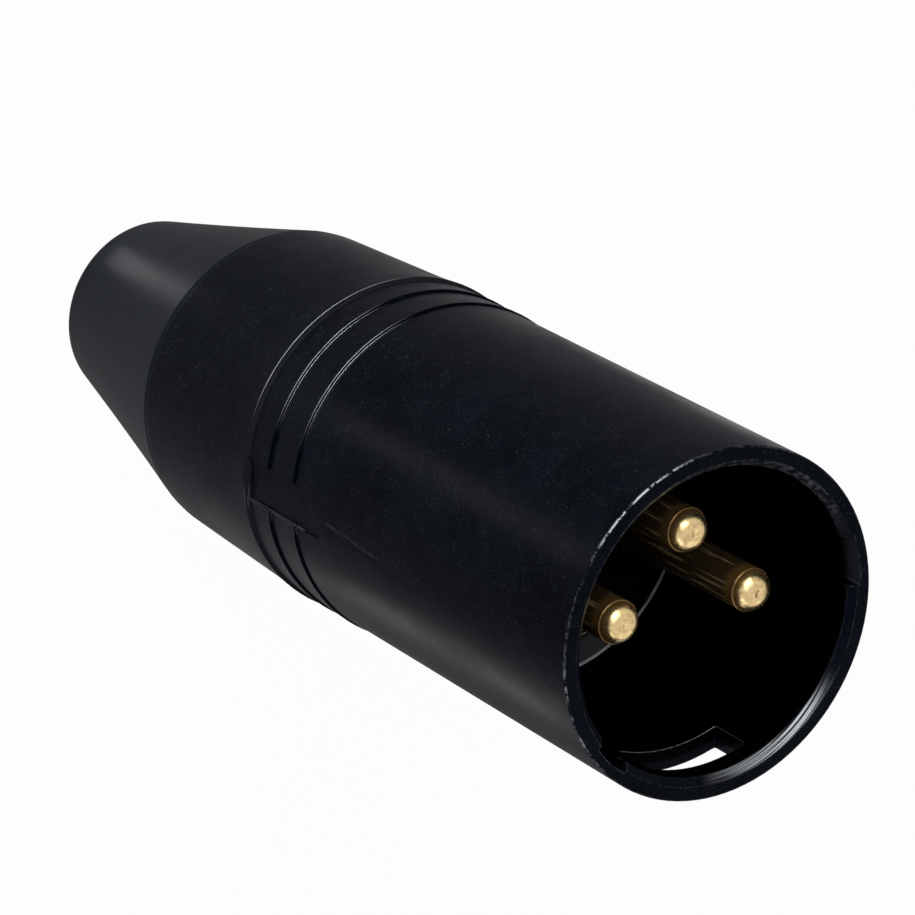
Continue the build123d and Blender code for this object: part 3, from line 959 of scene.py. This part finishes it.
def seen_white(tree, plain, white, camera_share, mirror_share):
    """Mixes towards white for what the camera, reflections and clear things see."""
    nodes, links = tree.nodes, tree.links
    path = nodes.new("ShaderNodeLightPath")
    mirrored = nodes.new("ShaderNodeMath")
    mirrored.operation = "MAXIMUM"
    links.new(path.outputs["Is Glossy Ray"], mirrored.inputs[0])
    links.new(path.outputs["Is Transmission Ray"], mirrored.inputs[1])
    seen = nodes.new("ShaderNodeMath")
    seen.operation = "MULTIPLY"
    links.new(path.outputs["Is Camera Ray"], seen.inputs[0])
    seen.inputs[1].default_value = camera_share
    both = nodes.new("ShaderNodeMath")
    both.operation = "MULTIPLY_ADD"
    links.new(mirrored.outputs[0], both.inputs[0])
    both.inputs[1].default_value = mirror_share
    links.new(seen.outputs[0], both.inputs[2])
    blend = nodes.new("ShaderNodeMixShader")
    links.new(both.outputs[0], blend.inputs[0])
    links.new(plain, blend.inputs[1])
    links.new(white, blend.inputs[2])
    return blend.outputs[0]


def add_floor(studio):
    """Round pale floor that shows as white and keeps some of the shadow."""
    turns = [math.tau * i / FLOOR_SIDES for i in range(FLOOR_SIDES)]
    radius = studio.floor_radius
    rim = [(radius * math.cos(turn), radius * math.sin(turn), 0.0) for turn in turns]
    mesh = bpy.data.meshes.new("floor")
    mesh.from_pydata(rim, [], [list(range(FLOOR_SIDES))])
    floor = bpy.data.objects.new("floor", mesh)
    bpy.context.scene.collection.objects.link(floor)
    material = bpy.data.materials.new("floor_white")
    material.use_nodes = True
    tree = material.node_tree
    tree.nodes.clear()
    out = tree.nodes.new("ShaderNodeOutputMaterial")
    matte = tree.nodes.new("ShaderNodeBsdfDiffuse")
    matte.inputs["Color"].default_value = (*studio.floor_colour, 1.0)
    white = tree.nodes.new("ShaderNodeEmission")
    white.inputs["Strength"].default_value = 1.0
    blend = seen_white(
        tree, matte.outputs[0], white.outputs[0], studio.backdrop_share, studio.mirrored_share
    )
    tree.links.new(blend, out.inputs["Surface"])
    mesh.materials.append(material)


def add_lamp(name, place, facing, upright, size, power):
    """Rectangular lamp at a place: the way it faces, its upright direction, width and height."""
    lamp = bpy.data.lights.new(name, "AREA")
    lamp.shape = "RECTANGLE"
    lamp.size, lamp.size_y = size
    lamp.energy = power
    holder = bpy.data.objects.new(name, lamp)
    holder.visible_camera = False
    bpy.context.scene.collection.objects.link(holder)
    back = -facing.normalized()
    side = upright.cross(back).normalized()
    turn = Matrix((side, back.cross(side), back)).transposed().to_4x4()
    holder.matrix_world = Matrix.Translation(place) @ turn


def around(direction, height=0.0):
    """Unit vector away from the adapter, from a direction round it and a height as an angle."""
    flat = math.cos(height)
    return Vector((math.cos(direction) * flat, math.sin(direction) * flat, math.sin(height)))


def add_soft_lamp(studio, name, direction, height, power):
    """Large soft lamp some way off, turned towards the middle of the adapter."""
    away = around(direction, height)
    place = 0.5 * MOUTH_HEIGHT * UP + away * studio.lamp_distance
    add_lamp(name, place, -away, UP, (studio.lamp_size, studio.lamp_size), power)


def add_light_card(studio, name, direction, power):
    """Narrow upright light card that stands just off the floor beside the adapter."""
    away = around(direction)
    place = away * studio.strip_distance + (0.5 * studio.strip_height + CARD_LIFT) * UP
    add_lamp(name, place, -away, UP, (studio.strip_width, studio.strip_height), power)


def set_room(strength):
    """Even light all round, plain white where it is seen."""
    world = bpy.data.worlds.new("room")
    bpy.context.scene.world = world
    world.use_nodes = True
    tree = world.node_tree
    tree.nodes.clear()
    out = tree.nodes.new("ShaderNodeOutputWorld")
    plain = tree.nodes.new("ShaderNodeBackground")
    plain.inputs["Strength"].default_value = strength
    white = tree.nodes.new("ShaderNodeBackground")
    white.inputs["Strength"].default_value = 1.0
    blend = seen_white(tree, plain.outputs[0], white.outputs[0], 1.0, 1.0)
    tree.links.new(blend, out.inputs["Surface"])


class ADAPTER_OT_studio(bpy.types.Operator):
    """Set up the camera, the floor and the lights"""

    bl_idname = "adapter.studio"
    bl_label = "Studio"

    def execute(self, context):
        studio = context.scene.adapter_studio
        camera = bpy.data.objects.new("camera", bpy.data.cameras.new("camera"))
        camera.data.lens = studio.lens
        camera.data.clip_start, camera.data.clip_end = CAMERA_RANGE
        camera.matrix_world = camera_matrix(studio)
        context.scene.collection.objects.link(camera)
        context.scene.camera = camera
        add_floor(studio)
        set_room(studio.surround)
        for name, direction, height, power in SOFT_LAMPS:
            add_soft_lamp(studio, name, direction, height, getattr(studio, power))
        for name, direction, power in LIGHT_CARDS:
            add_light_card(studio, name, direction, getattr(studio, power))
        away = around(studio.bar_azimuth)
        place = away * BAR_RADIUS + BAR_LIFT * UP
        add_lamp("boot_bar", place, UP, away, BAR_SIZE, studio.bar_power)
        context.scene.view_settings.view_transform = "Standard"
        return {"FINISHED"}


class ADAPTER_PT_panel(bpy.types.Panel):
    """Finishes and studio of the adapter"""

    bl_idname = "ADAPTER_PT_panel"
    bl_label = "Adapter"
    bl_space_type = "VIEW_3D"
    bl_region_type = "UI"
    bl_category = "Adapter"

    def draw(self, context):
        for operator, group in STEPS:
            self.layout.operator(operator.bl_idname)
            if group is not None:
                look = getattr(context.scene, group)
                for name in look.bl_rna.properties.keys():
                    if name not in ("rna_type", "name"):
                        self.layout.prop(look, name)


GROUPS = {
    "adapter_barrel": BarrelPaint,
    "adapter_boot": BootPlastic,
    "adapter_contacts": ContactPlate,
    "adapter_inside": InsideFinishes,
    "adapter_studio": Studio,
}
STEPS = (
    (ADAPTER_OT_barrel, "adapter_barrel"),
    (ADAPTER_OT_boot, "adapter_boot"),
    (ADAPTER_OT_contacts, "adapter_contacts"),
    (ADAPTER_OT_jack, "adapter_inside"),
    (ADAPTER_OT_wiring, None),
    (ADAPTER_OT_studio, "adapter_studio"),
)


def register():
    """Adds the classes and their settings to Blender."""
    for group in GROUPS.values():
        bpy.utils.register_class(group)
    for operator, _ in STEPS:
        bpy.utils.register_class(operator)
    bpy.utils.register_class(ADAPTER_PT_panel)
    for name, group in GROUPS.items():
        setattr(bpy.types.Scene, name, bpy.props.PointerProperty(type=group))


def unregister():
    """Takes the classes and their settings out again."""
    for name in GROUPS:
        delattr(bpy.types.Scene, name)
    bpy.utils.unregister_class(ADAPTER_PT_panel)
    for operator, _ in reversed(STEPS):
        bpy.utils.unregister_class(operator)
    for group in reversed(list(GROUPS.values())):
        bpy.utils.unregister_class(group)


def main():
    """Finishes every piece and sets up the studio."""
    register()
    bpy.ops.adapter.barrel()
    bpy.ops.adapter.boot()
    bpy.ops.adapter.contacts()
    bpy.ops.adapter.jack()
    bpy.ops.adapter.wiring()
    bpy.ops.adapter.studio()


if __name__ == "__main__":
    main()
